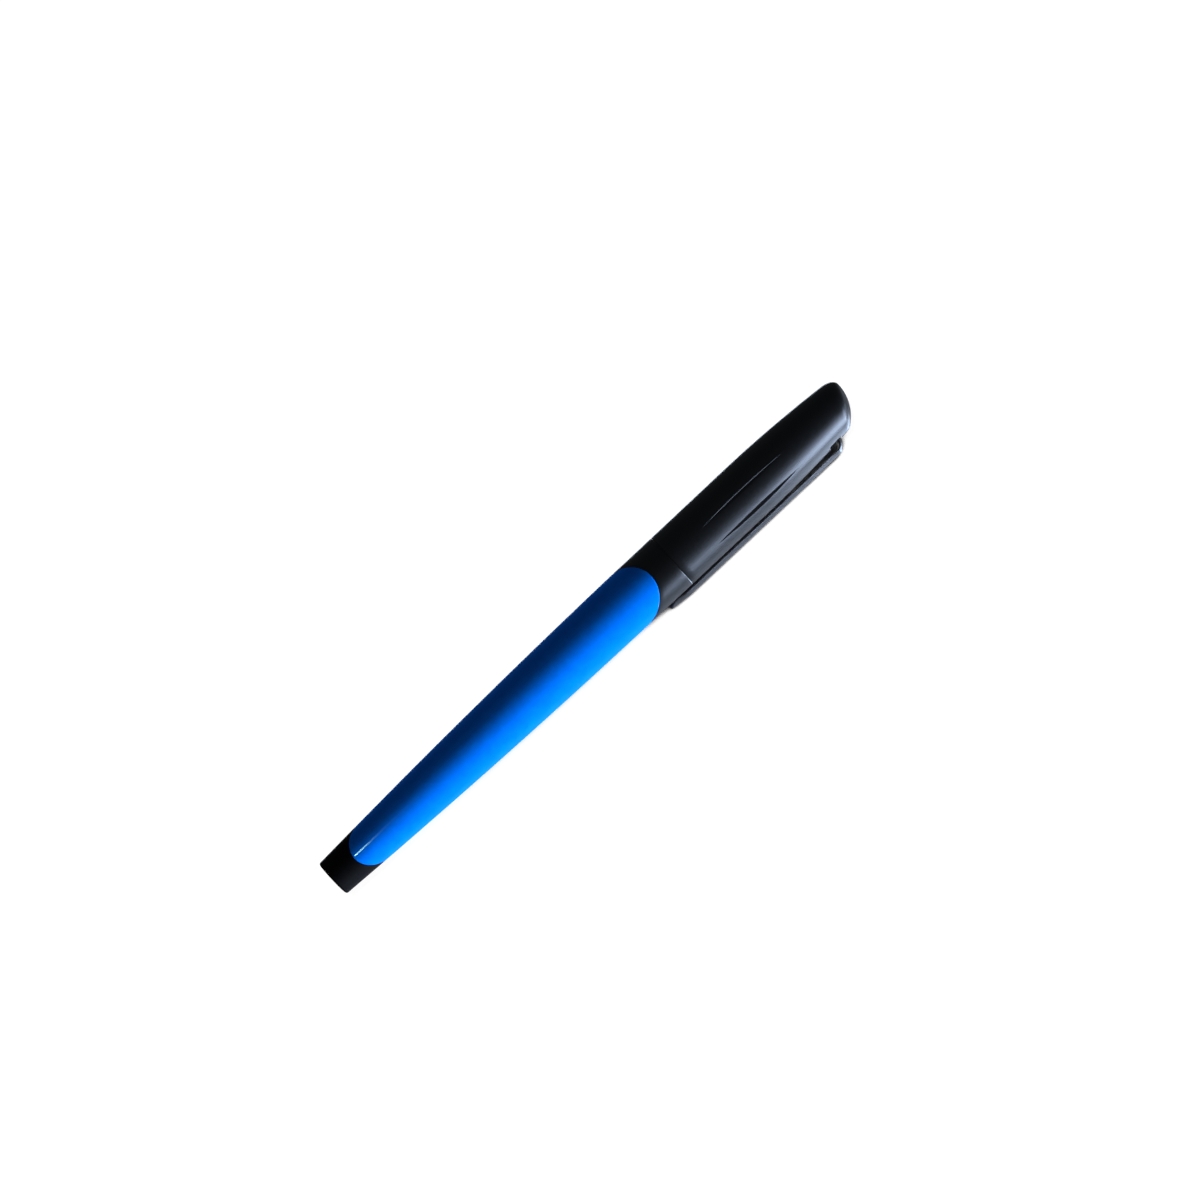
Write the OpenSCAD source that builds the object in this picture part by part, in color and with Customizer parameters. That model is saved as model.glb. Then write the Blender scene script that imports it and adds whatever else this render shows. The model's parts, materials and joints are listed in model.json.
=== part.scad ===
// Capped technical pen, lying on a table as it comes to rest.
// The pen's axis is +X with the tail's flat end at the origin, and +Z is up. It rests on the round
// of its cap and collar and on one edge of its clip, so the clip points down and to the -Y side.
// Each part is drawn upright: z is the distance from the tail, and the clip is towards +x.

/* [Body] */
// Radius of the cap's mouth and of the collar, the pen's thickest part
body_r = 6.0; // [5.9:0.05:6.2]
// Length of the closed pen
pen_length = 137; // [136.5:0.25:138]
// Place of the seam between the collar and the cap's mouth
seam_at = 90; // [89.8:0.1:90.2]
// Height of the hairline gap at the seam
seam_gap = 0.05; // [0.05:0.05:0.3]

/* [Barrel] */
// Radius of the long arc that the barrel's side follows
barrel_arc_r = 1750; // [1600:10:2200]
// Place where the barrel reaches its full radius
barrel_full_at = 85; // [82:0.5:86]
// Thickness of the coloured sleeve
sleeve_t = 0.6; // [0.5:0.05:0.65]
// Place where the sleeve's slanted tail end crosses the pen's axis
tail_cut_at = 10.6; // [9:0.2:12]
// Slant of the sleeve's tail end
tail_cut_a = 48; // [30:1:50]
// Place where the sleeve's slanted front end crosses the pen's axis
front_cut_at = 78.9; // [76:0.2:80]
// Slant of the sleeve's front end
front_cut_a = 46; // [30:1:47]
// Turn of the front slant away from the clip
front_cut_turn = 6; // [0:1:12]
// Radius of the rounded tail rim
tail_round = 0.7; // [0.2:0.05:0.8]
// Thickness of the tail piece's end
tail_t = 3; // [2:0.25:4]

/* [Cap] */
// Place where the cap starts to narrow
cap_taper_from = 109; // [106:0.5:112]
// Radius of the arc that the cap's side follows from there
cap_arc_r = 270; // [255:5:320]
// Thickness of the cap's wall at its mouth
cap_wall = 0.85; // [0.8:0.05:0.9]
// Radius of the domed slanted end
dome_r = 8.95; // [8.7:0.05:9.2]
// Offset of the dome's centre away from the clip
dome_offset = 2.8; // [2.4:0.1:3.2]
// Radius of the crown set in the cap's end
crown_r = 4.2; // [4.1:0.05:4.3]
// How far the crown sits below the cap's rim
crown_sink = 0.05; // [0.05:0.05:0.2]
// Length of each spindle-shaped groove
groove_length = 21.5; // [16:0.5:23]
// Depth of each groove at its middle
groove_depth = 0.35; // [0.2:0.05:0.4]
// Place of the grooves' middle
groove_at = 109.35; // [108:0.25:111]
// Angles of the grooves from the clip, on each side
groove_angles = [51, 96]; // [30:1:150]

/* [Clip] */
// Place of the clip's tip
clip_tip_at = 83.5; // [82:0.25:86]
// Distance of the clip's outer face from the pen's axis
clip_face_r = 7.35; // [7.2:0.05:7.6]
// Thickness of the clip's blade at its middle
clip_t = 0.9; // [0.8:0.05:1.0]
// Width of the clip's blade
clip_w = 3.8; // [3:0.1:4.2]
// Height of the outer face's crown across the blade
clip_crown = 0.75; // [0.3:0.05:0.75]
// Width of the tongue that holds the clip in the cap
tongue_w = 2.2; // [1.8:0.1:2.4]
// Radius of the clip's cross pin
clip_pin_r = 0.25; // [0.2:0.01:0.25]

/* [Drawing point] */
// Radius of the point's steel tube, half of the line's width
point_r = 0.35; // [0.25:0.05:0.5]
// Radius of the cleaning wire
wire_r = 0.12; // [0.1:0.01:0.14]
// Distance of the tube's tip from the grip section's front
point_reach = 8.3; // [7.8:0.1:8.4]

/* [Ink system] */
// Radius of the ink cartridge
cartridge_r = 3.6; // [3.3:0.05:3.6]
// Length of the ink cartridge, with its neck
cartridge_length = 41.4; // [30:0.2:41.4]
// Number of fins on the ink compensator
fin_count = 11; // [6:1:12]

/* [Fits] */
// Radial clearance of a running or sliding fit
running = 0.05; // [0.03:0.01:0.06]
// Radial clearance of a seal ring in its bore
snug = 0.03; // [0.02:0.01:0.04]

/* [Hidden] */

$fn = 96;
arc_step = 5;

// The cap's mouth, and the places inside the cap
mouth_at = seam_at + seam_gap;
bore_step_at = 112.8;
spring_seat_at = 126.2;
crown_seat_at = pen_length - 6.2;
dome_at = pen_length - 9;
cap_bore_r = body_r - cap_wall;
inner_bore_r = 4.6;
spring_bore_r = crown_r - 0.2;

// Barrel bores, from the tail to the mouth: [radius, from]
barrel_bores = [[2.4, 4.2], [3.2, 12], [4.05, 37], [4.9, 76]];
spigot_bore_r = barrel_bores[3][0];

// Grip section
spigot_from = 76.3;
spigot_r = spigot_bore_r - running;
section_front = 113.5;
section_nose_r = 4.3;
section_flange_t = 1;
cartridge_bore_r = 3.95;
web_from = 87.8;
web_to = 91;
point_bore_r = 3.4;

// Seal ring round the section's spigot
seal_at = 79.6;
seal_wire_r = 0.27;
seal_floor_r = spigot_bore_r - snug - 2 * seal_wire_r - snug;

// Friction ring that grips the cap
grip_ring_at = 92.3;
grip_ring_t = 1.2;
grip_ring_floor_r = 4.45;

// Inner cap
inner_cap_r = 4.5;
inner_nose_r = 4.2;
inner_mouth_r = 3.75;
gasket_t = 0.8;
gasket_gap = 0.02;
flange_from = 116;
flange_to = 120.5;
inner_tail_r = 3.3;
inner_end_at = 126.5;
seal_pad_r = 2.2;
retainer_t = 1;

// Cap spring
spring_wire_r = 0.2;
spring_r = spring_bore_r - 0.12 - spring_wire_r;
spring_turns = 6;
spring_sides = 6;
spring_steps = 16;

// Drawing point
shank_from = section_front - 9.5;
shank_to = section_front - 2.5;
shank_r = point_bore_r - running;
neck_r = 2.9;
width_ring_t = 1.5;
width_ring_r = 3.6;
cone_from = section_front + width_ring_t + gasket_gap;
cone_to = section_front + 6.1;
chamber_r = 1.85;
chamber_from = shank_from + 1.5;
chamber_to = section_front - 1;
stopper_r = 2.6;
tube_from = section_front + 4;
tube_step = section_front + 6.9;
tube_tip = section_front + point_reach;
tube_shank_r = point_r + 0.25;
tube_bore_r = wire_r + 0.04;
weight_r = chamber_r - running;
weight_from = chamber_from + 2;
weight_to = chamber_to - 0.2;
wire_proud = 0.1;

// Ink system
feed_tube_r = 1.2;
feed_bore_r = 0.5;
feed_tube_from = 82.5;
feed_tube_to = 93;
compensator_to = 103;
compensator_core_r = 1.6;
cartridge_front = web_from - 0.4;
cartridge_shoulder = 84;
cartridge_wall = 0.6;
cartridge_neck_r = 2.4;
clamp_ring_r = 4.3;
clamp_ring_t = 2;

// Clip
tip_round = 0.45;
heel_at = pen_length - 8.9;
heel_r = 5.2;
heel_out = clip_face_r - 0.15 - heel_r;
heel_end = heel_at + heel_out;
heel_foot_r = 4.95;
tongue_foot_r = spring_bore_r + running;
pin_at = heel_end - clip_t / 2;
pin_dist = spring_bore_r + 0.5;
pin_length = 3.4;
crown_arc_r = (pow(clip_w / 2, 2) + pow(clip_crown, 2)) / (2 * clip_crown);

// Pocket in the cap for the clip's heel
pocket_from = heel_at - 0.65;
pocket_floor_r = 4.8;
pocket_play = 0.25;

// The clip's lower outer edge and the body touch the same level surface
edge_r = norm([clip_face_r - clip_crown, clip_w / 2]);
edge_a = atan2(clip_w / 2, clip_face_r - clip_crown);
clip_below_level = asin(body_r / edge_r) - edge_a;

// Radius of the closed pen's outline at a distance z from the tail
function outline_r(z) =
    z < barrel_full_at ? body_r - pow(barrel_full_at - z, 2) / (2 * barrel_arc_r)
    : z > cap_taper_from ? body_r - pow(z - cap_taper_from, 2) / (2 * cap_arc_r)
    : body_r;

// Points [radius, distance] of the outline from z0 to z1, set in by a thickness
function outline(z0, z1, inset = 0) =
    let (n = max(1, ceil((z1 - z0) / arc_step)))
    [for (i = [0:n]) let (z = z0 + (z1 - z0) * i / n) [outline_r(z) - inset, z]];

// Points of an arc about c, from angle a0 to angle a1
function arc(c, r, a0, a1, n = 6) =
    [for (i = [0:n]) let (a = a0 + (a1 - a0) * i / n) c + r * [cos(a), sin(a)]];

// Lays an upright part down along +X with its clip side turned to the table
module lay() {
    rotate([0, 90, 0])
        rotate([0, 0, clip_below_level - 90])
            children();
}

// Solid of revolution whose side is a list of [radius, distance], closed along the axis
module turned(side) {
    rotate_extrude()
        polygon(concat([[0, side[0][1]]], side, [[0, side[len(side) - 1][1]]]));
}

// Straight round bar or bore from z0 to z1
module bar(r, z0, z1) {
    translate([0, 0, z0])
        cylinder(r = r, h = z1 - z0);
}

// Plain ring from z0 to z1
module ring(r_out, r_in, z0, z1) {
    difference() {
        bar(r_out, z0, z1);
        bar(r_in, z0 - 1, z1 + 1);
    }
}

// Everything below a slanted plane that is lowest towards -y
module below_plane(at, slant, turn = 0) {
    size = 3 * pen_length;
    translate([0, 0, at])
        rotate([slant, 0, turn])
            translate([-size / 2, -size / 2, -size])
                cube(size);
}

// The barrel's core, which the sleeve and the tail piece are fitted over
module barrel_core() {
    turned(concat(
        outline(tail_t, barrel_full_at, sleeve_t),
        [[body_r - sleeve_t, seam_at - 1]]
    ));
}

module barrel_sleeve() {
    color("dodgerblue") lay()
        difference() {
            intersection() {
                turned(concat(
                    outline(tail_t, barrel_full_at),
                    [[body_r, seam_at - 1]]
                ));
                below_plane(front_cut_at, -front_cut_a, -front_cut_turn);
            }
            below_plane(tail_cut_at, tail_cut_a);
            barrel_core();
        }
}

module barrel_tube() {
    chamfer = 0.15;
    color("dimgray") lay()
        difference() {
            union() {
                barrel_core();
                difference() {
                    turned(concat(
                        outline(front_cut_at - 10, barrel_full_at),
                        [[body_r, seam_at - chamfer], [body_r - chamfer, seam_at]]
                    ));
                    below_plane(front_cut_at, -front_cut_a, -front_cut_turn);
                }
            }
            for (bore = barrel_bores)
                bar(bore[0], bore[1], seam_at + 1);
        }
}

module tail_piece() {
    rim_r = outline_r(tail_round) - tail_round;
    color("dimgray") lay()
        difference() {
            intersection() {
                turned(concat(
                    arc([rim_r, tail_round], tail_round, -90, 0),
                    outline(tail_round, tail_cut_at + 10)
                ));
                below_plane(tail_cut_at, tail_cut_a);
            }
            barrel_core();
        }
}

// Rubber ring that seals the barrel on the section's spigot and holds it by friction
module barrel_seal_ring() {
    color("black") lay()
        rotate_extrude()
            translate([spigot_bore_r - snug - seal_wire_r, seal_at])
                circle(r = seal_wire_r, $fn = 32);
}

module grip_section() {
    ridge_r = 0.35;
    ridge_pitch = 1.8;
    ridge_count = 7;
    ridge_from = 98;
    grip_from = 95;
    grip_back_r = 4.9;
    grip_waist_r = 4.75;
    nose_chamfer = 0.15;
    ring_room = 0.1;
    seal_room = seal_wire_r + ring_room;
    color("dimgray") lay()
        difference() {
            turned([
                [spigot_r - nose_chamfer, spigot_from],
                [spigot_r, spigot_from + nose_chamfer],
                [spigot_r, seal_at - seal_room],
                [seal_floor_r, seal_at - seal_room],
                [seal_floor_r, seal_at + seal_room],
                [spigot_r, seal_at + seal_room],
                [spigot_r, seam_at],
                [cap_bore_r - running, seam_at],
                [cap_bore_r - running, seam_at + section_flange_t],
                [grip_waist_r, seam_at + section_flange_t],
                [grip_waist_r, grip_ring_at],
                [grip_ring_floor_r, grip_ring_at],
                [grip_ring_floor_r, grip_ring_at + grip_ring_t + ring_room],
                [grip_waist_r, grip_ring_at + grip_ring_t + ring_room],
                [grip_waist_r, grip_from - 0.5],
                [grip_back_r, grip_from],
                [section_nose_r, section_front - nose_chamfer],
                [section_nose_r - nose_chamfer, section_front]
            ]);
            for (i = [0:ridge_count - 1])
                let (z = ridge_from + i * ridge_pitch)
                    rotate_extrude()
                        translate([
                            grip_back_r + ridge_r * 0.55
                                - (z - grip_from) * (grip_back_r - section_nose_r)
                                / (section_front - grip_from),
                            z
                        ])
                            circle(r = ridge_r, $fn = 32);
            bar(cartridge_bore_r, spigot_from - 1, web_from);
            bar(clamp_ring_r, spigot_from - 1, spigot_from + clamp_ring_t);
            bar(feed_tube_r, web_from - 1, web_to + 1);
            bar(point_bore_r, web_to, section_front + 1);
        }
}

module cap_friction_ring() {
    ring_play = 0.05;
    color("black") lay()
        ring(
            cap_bore_r - snug,
            grip_ring_floor_r + snug,
            grip_ring_at + ring_play,
            grip_ring_at + ring_play + grip_ring_t
        );
}

// Finned core whose gaps hold back ink when the air in the cartridge warms up
module ink_compensator() {
    end_t = 0.8;
    fin_t = 0.4;
    fin_room = compensator_to - web_to - 2 * end_t;
    fin_pitch = fin_room / (fin_count + 1);
    slot_w = 0.5;
    color("whitesmoke") lay()
        difference() {
            union() {
                bar(compensator_core_r, web_to, compensator_to);
                bar(point_bore_r, web_to, web_to + end_t);
                bar(point_bore_r, compensator_to - end_t, compensator_to);
                for (i = [1:fin_count])
                    let (z = web_to + end_t + i * fin_pitch - fin_t / 2)
                        bar(point_bore_r - 2 * running, z, z + fin_t);
            }
            bar(feed_tube_r, web_to - 1, feed_tube_to);
            bar(feed_bore_r, web_to, compensator_to + 1);
            translate([compensator_core_r * 0.8, -slot_w / 2, web_to - 1])
                cube([point_bore_r, slot_w, compensator_to - web_to + 2]);
        }
}

module feed_tube() {
    tip_chamfer = 0.4;
    color("silver") lay()
        difference() {
            turned([
                [feed_tube_r - tip_chamfer, feed_tube_from],
                [feed_tube_r, feed_tube_from + tip_chamfer],
                [feed_tube_r, feed_tube_to]
            ]);
            bar(feed_bore_r, feed_tube_from - 1, feed_tube_to + 1);
        }
}

module cartridge_clamp_ring() {
    color("slategray") lay()
        ring(clamp_ring_r, cartridge_r + running, spigot_from, spigot_from + clamp_ring_t);
}

module ink_cartridge() {
    back = cartridge_front - cartridge_length;
    back_round = 1.2;
    neck_from = cartridge_shoulder + 1.2;
    inner_r = cartridge_r - cartridge_wall;
    color([0.75, 0.8, 0.85, 0.6]) lay()
        difference() {
            turned(concat(
                arc([cartridge_r - back_round, back + back_round], back_round, -90, 0),
                [
                    [cartridge_r, cartridge_shoulder],
                    [cartridge_neck_r, neck_from],
                    [cartridge_neck_r, cartridge_front]
                ]
            ));
            turned(concat(
                arc(
                    [inner_r - back_round / 2, back + cartridge_wall + back_round / 2],
                    back_round / 2, -90, 0
                ),
                [
                    [inner_r, cartridge_shoulder - 1.2],
                    [cartridge_neck_r - cartridge_wall, cartridge_shoulder - 0.2]
                ]
            ));
            bar(feed_tube_r + running, cartridge_shoulder - 1, cartridge_front + 1);
        }
}

// Ring whose colour tells the line's width
module line_width_ring() {
    color("royalblue") lay()
        ring(width_ring_r, neck_r + running, section_front, section_front + width_ring_t);
}

module point_body() {
    flange_r = width_ring_r - 0.05;
    flange_t = 0.8;
    cone_waist_r = 1.5;
    cone_waist_at = cone_to - 1.2;
    cone_tip_r = tube_shank_r + 0.3;
    key_notch_r = 0.25;
    key_notches = 8;
    color("dimgray") lay()
        difference() {
            turned([
                [shank_r, shank_from],
                [shank_r, shank_to],
                [neck_r, shank_to],
                [neck_r, cone_from],
                [flange_r, cone_from],
                [flange_r, cone_from + flange_t],
                [cone_waist_r, cone_waist_at],
                [cone_tip_r, cone_to]
            ]);
            for (i = [0:key_notches - 1])
                rotate([0, 0, 360 / key_notches * i])
                    translate([flange_r + key_notch_r * 0.3, 0, cone_from - 1])
                        cylinder(r = key_notch_r, h = flange_t + 3, $fn = 24);
            bar(stopper_r, shank_from - 1, chamber_from);
            bar(chamber_r, chamber_from - 1, chamber_to);
            bar(tube_bore_r + 0.2, chamber_to - 1, tube_from + 1);
            bar(tube_shank_r, tube_from, cone_to + 1);
        }
}

// Stepped steel tube that draws the line
module point_tube() {
    color("silver") lay()
        difference() {
            turned([
                [tube_shank_r, tube_from],
                [tube_shank_r, tube_step],
                [point_r, tube_step + 0.2],
                [point_r, tube_tip]
            ]);
            bar(tube_bore_r, tube_from - 1, tube_tip + 1);
        }
}

// Plug that keeps the drop weight in its chamber and lets ink past
module point_stopper() {
    hole_r = 0.4;
    hole_count = 4;
    color("whitesmoke") lay()
        difference() {
            bar(stopper_r, shank_from, chamber_from);
            for (i = [0:hole_count - 1])
                rotate([0, 0, 360 / hole_count * i])
                    translate([stopper_r * 0.5, 0, 0])
                        bar(hole_r, shank_from - 1, chamber_from + 1);
        }
}

module drop_weight() {
    flute_r = 0.5;
    flute_count = 4;
    color("goldenrod") lay()
        difference() {
            bar(weight_r, weight_from, weight_to);
            for (i = [0:flute_count - 1])
                rotate([0, 0, 360 / flute_count * i])
                    translate([weight_r, 0, 0])
                        bar(flute_r, weight_from - 1, weight_to + 1);
            bar(wire_r, weight_to - 1, weight_to + 1);
        }
}

module cleaning_wire() {
    color("silver") lay()
        bar(wire_r, weight_to - 1, tube_tip + wire_proud);
}

// Everything under the domed slanted end
module under_dome(sink = 0) {
    translate([-dome_offset, 0, dome_at])
        sphere(r = dome_r - sink, $fn = 180);
    bar(body_r * 3, 0, dome_at);
}

// A disc with a sharp rim, whose edge dips into the cap's side and leaves a pointed groove
module groove_cutter(angle) {
    half = groove_length / 2;
    low = [outline_r(groove_at - half), groove_at - half];
    high = [outline_r(groove_at + half), groove_at + half];
    chord_r = (low[0] + high[0]) / 2;
    sag = chord_r - (outline_r(groove_at) - groove_depth);
    disc_r = (half * half + sag * sag) / (2 * sag);
    lean = atan2(low[0] - high[0], groove_length);
    bevel = 2;
    rotate([0, 0, angle])
        translate([chord_r - sag, 0, groove_at])
            rotate([90, -lean, 0])
                translate([disc_r, 0, 0])
                    for (side = [0, 1])
                        mirror([0, 0, side])
                            cylinder(r1 = disc_r, r2 = disc_r - bevel, h = bevel, $fn = 720);
}

// Pocket or slot on the clip's side, with play round what it holds
module block(r_in, r_out, width, z0, z1) {
    play = pocket_play;
    translate([r_in, -width / 2 - play / 2, z0 - play])
        cube([r_out - r_in, width + play, z1 - z0 + 2 * play]);
}

module cap_shell() {
    mouth_chamfer = 0.1;
    color("dimgray") lay()
        difference() {
            intersection() {
                turned(concat(
                    [
                        [body_r - mouth_chamfer, mouth_at],
                        [body_r, mouth_at + mouth_chamfer]
                    ],
                    outline(cap_taper_from, pen_length + 1)
                ));
                under_dome();
            }
            bar(cap_bore_r, mouth_at - 1, bore_step_at);
            bar(inner_bore_r, bore_step_at - 1, spring_seat_at);
            bar(spring_bore_r, spring_seat_at - 1, crown_seat_at + 1);
            bar(crown_r, crown_seat_at, pen_length + 1);
            for (angle = groove_angles, side = [-1, 1])
                groove_cutter(side * angle);
            block(pocket_floor_r, body_r + 1, clip_w, pocket_from, heel_end);
            block(spring_bore_r - 1, body_r, tongue_w, heel_end - clip_t, heel_end);
            clip_pin_bar(clip_pin_r);
        }
}

module cap_crown() {
    color("black") lay()
        intersection() {
            bar(crown_r, crown_seat_at, pen_length + 1);
            under_dome(crown_sink);
        }
}

// Bar across the cap at the clip's tongue
module clip_pin_bar(r, length = pin_length) {
    translate([pin_dist, 0, pin_at])
        rotate([90, 0, 0])
            cylinder(r = r, h = length, center = true, $fn = 48);
}

module clip_cross_pin() {
    color("silver") lay()
        clip_pin_bar(clip_pin_r);
}

// The blade seen from the side, with its heel turned down into the cap
module clip_side() {
    tip_r = body_r + 0.08 + tip_round;
    inner_r = clip_face_r - clip_t;
    rise_to = clip_tip_at + 5;
    level_to = heel_at - 8;
    polygon(concat(
        arc([tip_r, clip_tip_at + tip_round], tip_round, -180, 0),
        [
            [clip_face_r - 0.1, clip_tip_at + 2.8],
            [clip_face_r, rise_to],
            [clip_face_r, level_to]
        ],
        arc([heel_r, heel_at], heel_out, 0, 90),
        [
            [tongue_foot_r, heel_end],
            [tongue_foot_r, heel_end - clip_t]
        ],
        arc([heel_r, heel_at], heel_out - clip_t, 90, 0),
        [
            [inner_r, level_to],
            [inner_r, rise_to],
            [inner_r - 0.1, clip_tip_at + 2.8]
        ]
    ));
}

// The blade seen from above, round at its tip and narrow at its tongue
module clip_plan() {
    tip_middle = clip_tip_at + clip_w / 2;
    translate([0, tip_middle])
        circle(d = clip_w);
    translate([-clip_w / 2, tip_middle])
        square([clip_w, pen_length]);
}

module pocket_clip() {
    color("dimgray") lay()
        difference() {
            intersection() {
                rotate([90, 0, 0])
                    linear_extrude(height = clip_w, center = true)
                        clip_side();
                rotate([90, 0, 90])
                    linear_extrude(height = 3 * body_r)
                        clip_plan();
                translate([clip_face_r - crown_arc_r, 0, 0])
                    cylinder(r = crown_arc_r, h = pen_length);
            }
            for (side = [-1, 1])
                translate([0, side * tongue_w - tongue_w / 2, heel_end - 2])
                    cube([heel_foot_r, tongue_w, 3]);
            clip_pin_bar(clip_pin_r + 0.04, tongue_w + 2);
        }
}

// Wire spring that presses the inner cap on the section
module cap_spring() {
    n = spring_turns * spring_steps;
    low = flange_to + spring_wire_r + 0.02;
    high = crown_seat_at - spring_wire_r - 0.02;
    rings = [
        for (i = [0:n], k = [0:spring_sides - 1])
            let (t = 360 * i / spring_steps, a = 360 * k / spring_sides)
            let (r = spring_r + spring_wire_r * cos(a))
            [r * cos(t), r * sin(t), low + (high - low) * i / n + spring_wire_r * sin(a)]
    ];
    sides = [
        for (i = [0:n - 1], k = [0:spring_sides - 1])
            let (a = i * spring_sides + k, b = i * spring_sides + (k + 1) % spring_sides)
            [a, a + spring_sides, b + spring_sides, b]
    ];
    start = [for (k = [0:spring_sides - 1]) k];
    end = [for (k = [spring_sides - 1:-1:0]) n * spring_sides + k];
    color("silver") lay()
        polyhedron(points = rings, faces = concat([start], sides, [end]));
}

// Snap ring that keeps the inner cap in the cap
module inner_cap_retainer() {
    color("silver") lay()
        ring(
            inner_bore_r,
            inner_nose_r + running,
            flange_from - gasket_gap - retainer_t,
            flange_from - gasket_gap
        );
}

module inner_cap() {
    mouth_to = flange_from + 2.3;
    cone_end = flange_to + 1;
    pad_from = inner_end_at - 1.9;
    pad_to = inner_end_at - 1.2;
    gasket_to = section_front + gasket_gap + gasket_t;
    tail_round_r = 0.8;
    color("gainsboro") lay()
        difference() {
            turned(concat(
                [
                    [inner_nose_r, gasket_to],
                    [inner_nose_r, flange_from],
                    [inner_cap_r, flange_from],
                    [inner_cap_r, flange_to],
                    [inner_tail_r, flange_to]
                ],
                arc([inner_tail_r - tail_round_r, inner_end_at - tail_round_r], tail_round_r, 0, 90)
            ));
            turned([
                [inner_mouth_r, gasket_to - 1],
                [inner_mouth_r, mouth_to],
                [seal_pad_r, cone_end],
                [seal_pad_r, pad_to]
            ]);
        }
}

module inner_cap_gasket() {
    gasket_from = section_front + gasket_gap;
    color("black") lay()
        ring(inner_nose_r, inner_mouth_r, gasket_from, gasket_from + gasket_t);
}

// Soft pad in the inner cap's end, just clear of the drawing tube
module point_seal_pad() {
    color("darkred") lay()
        bar(seal_pad_r, inner_end_at - 1.9, inner_end_at - 1.2);
}

barrel_sleeve();
barrel_tube();
tail_piece();
barrel_seal_ring();
grip_section();
cap_friction_ring();
ink_compensator();
feed_tube();
cartridge_clamp_ring();
ink_cartridge();
line_width_ring();
point_body();
point_tube();
point_stopper();
drop_weight();
cleaning_wire();
cap_shell();
cap_crown();
cap_spring();
inner_cap_retainer();
inner_cap();
inner_cap_gasket();
point_seal_pad();
pocket_clip();
clip_cross_pin();
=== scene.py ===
"""Looks of the capped technical pen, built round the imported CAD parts."""

import json
import math

import bmesh
import bpy
from mathutils import Matrix, Vector


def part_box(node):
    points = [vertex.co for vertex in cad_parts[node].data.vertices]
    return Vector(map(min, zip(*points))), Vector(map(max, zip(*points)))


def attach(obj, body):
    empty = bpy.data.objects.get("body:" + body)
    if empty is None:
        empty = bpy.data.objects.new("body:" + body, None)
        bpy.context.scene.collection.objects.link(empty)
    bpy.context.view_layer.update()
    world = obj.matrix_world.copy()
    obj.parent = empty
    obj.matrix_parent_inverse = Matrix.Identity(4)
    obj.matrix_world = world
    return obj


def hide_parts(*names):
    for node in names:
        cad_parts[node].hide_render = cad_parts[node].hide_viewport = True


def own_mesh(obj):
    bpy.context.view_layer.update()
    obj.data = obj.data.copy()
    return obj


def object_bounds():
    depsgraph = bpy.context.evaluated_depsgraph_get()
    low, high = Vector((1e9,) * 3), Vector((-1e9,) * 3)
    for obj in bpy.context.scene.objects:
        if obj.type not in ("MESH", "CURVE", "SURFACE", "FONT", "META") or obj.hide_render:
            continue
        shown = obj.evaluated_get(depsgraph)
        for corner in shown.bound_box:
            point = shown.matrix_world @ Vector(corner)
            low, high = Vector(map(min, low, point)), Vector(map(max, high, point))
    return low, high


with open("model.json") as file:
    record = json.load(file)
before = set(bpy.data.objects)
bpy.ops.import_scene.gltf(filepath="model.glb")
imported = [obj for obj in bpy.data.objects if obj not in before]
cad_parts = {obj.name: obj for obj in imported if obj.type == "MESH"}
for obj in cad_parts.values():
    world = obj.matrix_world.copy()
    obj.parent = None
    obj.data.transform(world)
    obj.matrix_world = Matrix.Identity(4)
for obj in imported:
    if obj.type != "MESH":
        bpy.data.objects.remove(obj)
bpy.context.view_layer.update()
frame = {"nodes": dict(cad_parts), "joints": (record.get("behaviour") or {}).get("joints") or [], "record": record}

MM = 0.001
NODES = frame["nodes"]
JOINTS = {joint["name"]: joint for joint in frame["joints"]}

# The clip's hinge lies across the clip's middle plane, so it gives both directions round the pen
SIDE = Vector(JOINTS["clip_flex"]["axis"]).normalized()
pivot = Vector(JOINTS["clip_flex"]["pos_m"])
CLIP = Vector((0, pivot.y, pivot.z)).normalized()

# Lengths in mm along the pen, from the tail's flat end
PEN_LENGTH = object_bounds()[1][0] / MM
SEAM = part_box("barrel_tube")[1].x / MM
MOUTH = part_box("cap_shell")[0].x / MM

# The pen is thickest from THICK_FROM to THICK_TO, and narrows in a parabola beyond them
BODY_R = 6.0
THICK_FROM, TAIL_TAPER = 85, 3500
THICK_TO, CAP_TAPER = 109, 540


# ---- Shape helpers -------------------------------------------------------------------------

def outline(x):
    """Radius of the closed pen's side."""
    if x < THICK_FROM:
        return BODY_R - (THICK_FROM - x) ** 2 / TAIL_TAPER
    if x > THICK_TO:
        return BODY_R - (x - THICK_TO) ** 2 / CAP_TAPER
    return BODY_R


def place(x, r, phi):
    """Point at x along the pen and r from its axis, at the angle phi from the clip."""
    across = CLIP * math.cos(phi) - SIDE * math.sin(phi)
    return Vector((x, 0, 0)) * MM + across * (r * MM)


def fillet(points):
    """Closed outline of (x, r, radius, steps) corners, with the corners that have a radius made round."""
    out = []
    for i, (x, r, radius, steps) in enumerate(points):
        here = Vector((x, r))
        if not radius:
            out.append(here)
            continue
        before = Vector(points[i - 1][:2]) - here
        after = Vector(points[(i + 1) % len(points)][:2]) - here
        room = 0.45 * min(before.length, after.length)
        before.normalize()
        after.normalize()
        half = math.acos(max(-1, min(1, before.dot(after)))) / 2
        reach = min(radius / math.tan(half), room)
        centre = here + (before + after).normalized() * (reach / math.cos(half))
        start = here + before * reach - centre
        end = here + after * reach - centre
        turn = math.pi - 2 * half
        for k in range(steps + 1):
            t = k / steps
            a, b = math.sin((1 - t) * turn), math.sin(t * turn)
            out.append(centre + (start * a + end * b) / math.sin(turn))
    return out


def steps(a, b, n):
    """n evenly spaced values strictly between a and b."""
    return [a + (b - a) * k / (n + 1) for k in range(1, n + 1)]


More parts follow.
